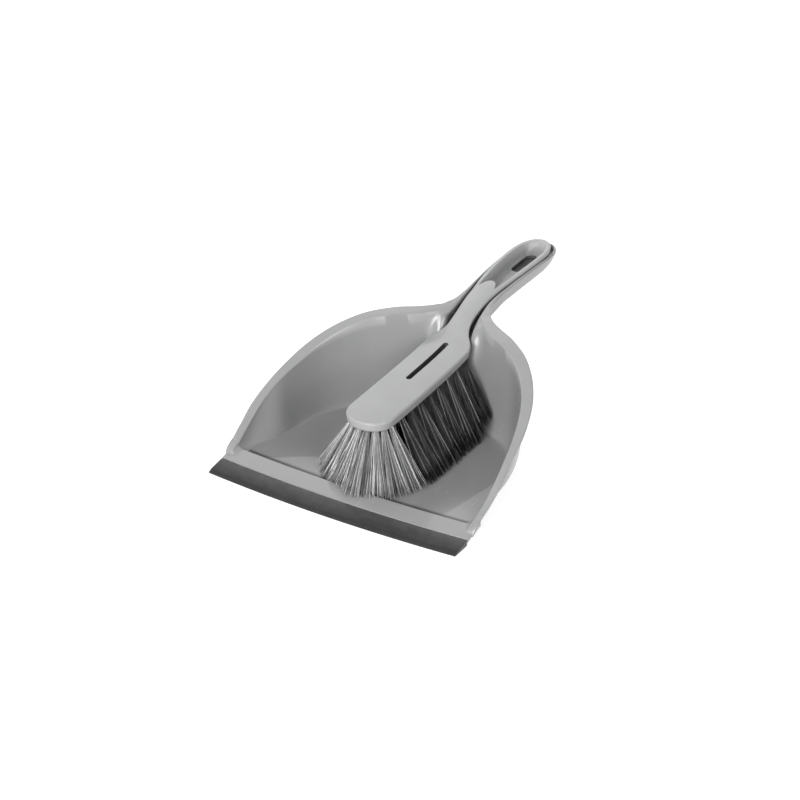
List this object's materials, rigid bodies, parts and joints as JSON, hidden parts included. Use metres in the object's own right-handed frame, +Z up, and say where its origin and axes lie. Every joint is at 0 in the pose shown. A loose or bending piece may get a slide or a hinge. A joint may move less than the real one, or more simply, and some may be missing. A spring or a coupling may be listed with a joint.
{
  "type": "dustpan and hand brush",
  "caption": "Plastic dustpan with a deep rounded tray, rubber lip and channel-shaped handle, storing a hand brush whose hollow handle nests in the pan's handle.",
  "frame": {"origin": "middle of the footprint, on the floor the pan stands on", "axes": "+X across the pan to its right seen from the lip, +Y from the lip towards the handle's tip, +Z up"},
  "size_m": [0.2244, 0.3404, 0.0958],
  "materials": {
    "pan_plastic": "semi-gloss moulded polypropylene",
    "stock_plastic": "satin moulded polypropylene",
    "rubber": "matt extruded rubber",
    "light_bristle": "light synthetic bristle",
    "dark_bristle": "black synthetic bristle",
    "anchor_steel": "plain stamped wire"
  },
  "bodies": {
    "pan": {"pan_body": "pan_plastic", "rubber_lip": "rubber"},
    "brush": {"brush_stock": "stock_plastic", "tuft_light_01": "light_bristle", "tuft_light_02": "light_bristle", "tuft_light_03": "light_bristle", "tuft_light_04": "light_bristle", "tuft_light_05": "light_bristle", "tuft_light_06": "light_bristle", "tuft_light_07": "light_bristle", "tuft_light_08": "light_bristle", "tuft_light_09": "light_bristle", "tuft_light_10": "light_bristle", "tuft_dark_01": "dark_bristle", "tuft_dark_02": "dark_bristle", "tuft_dark_03": "dark_bristle", "tuft_dark_04": "dark_bristle", "tuft_dark_05": "dark_bristle", "tuft_dark_06": "dark_bristle", "tuft_dark_07": "dark_bristle", "tuft_dark_08": "dark_bristle", "tuft_dark_09": "dark_bristle", "tuft_dark_10": "dark_bristle", "tuft_dark_11": "dark_bristle", "tuft_dark_12": "dark_bristle", "tuft_dark_13": "dark_bristle", "tuft_dark_14": "dark_bristle", "tuft_dark_15": "dark_bristle", "tuft_dark_16": "dark_bristle", "tuft_dark_17": "dark_bristle", "tuft_dark_18": "dark_bristle", "anchor_light_01": "anchor_steel", "anchor_light_02": "anchor_steel", "anchor_light_03": "anchor_steel", "anchor_light_04": "anchor_steel", "anchor_light_05": "anchor_steel", "anchor_light_06": "anchor_steel", "anchor_light_07": "anchor_steel", "anchor_light_08": "anchor_steel", "anchor_light_09": "anchor_steel", "anchor_light_10": "anchor_steel", "anchor_dark_01": "anchor_steel", "anchor_dark_02": "anchor_steel", "anchor_dark_03": "anchor_steel", "anchor_dark_04": "anchor_steel", "anchor_dark_05": "anchor_steel", "anchor_dark_06": "anchor_steel", "anchor_dark_07": "anchor_steel", "anchor_dark_08": "anchor_steel", "anchor_dark_09": "anchor_steel", "anchor_dark_10": "anchor_steel", "anchor_dark_11": "anchor_steel", "anchor_dark_12": "anchor_steel", "anchor_dark_13": "anchor_steel", "anchor_dark_14": "anchor_steel", "anchor_dark_15": "anchor_steel", "anchor_dark_16": "anchor_steel", "anchor_dark_17": "anchor_steel", "anchor_dark_18": "anchor_steel"}
  },
  "joints": [
    {"name": "brush_lift", "type": "slide", "parent": "pan", "child": "brush", "axis": [0, 0, 1], "range_m": [0, 0.15]}
  ]
}
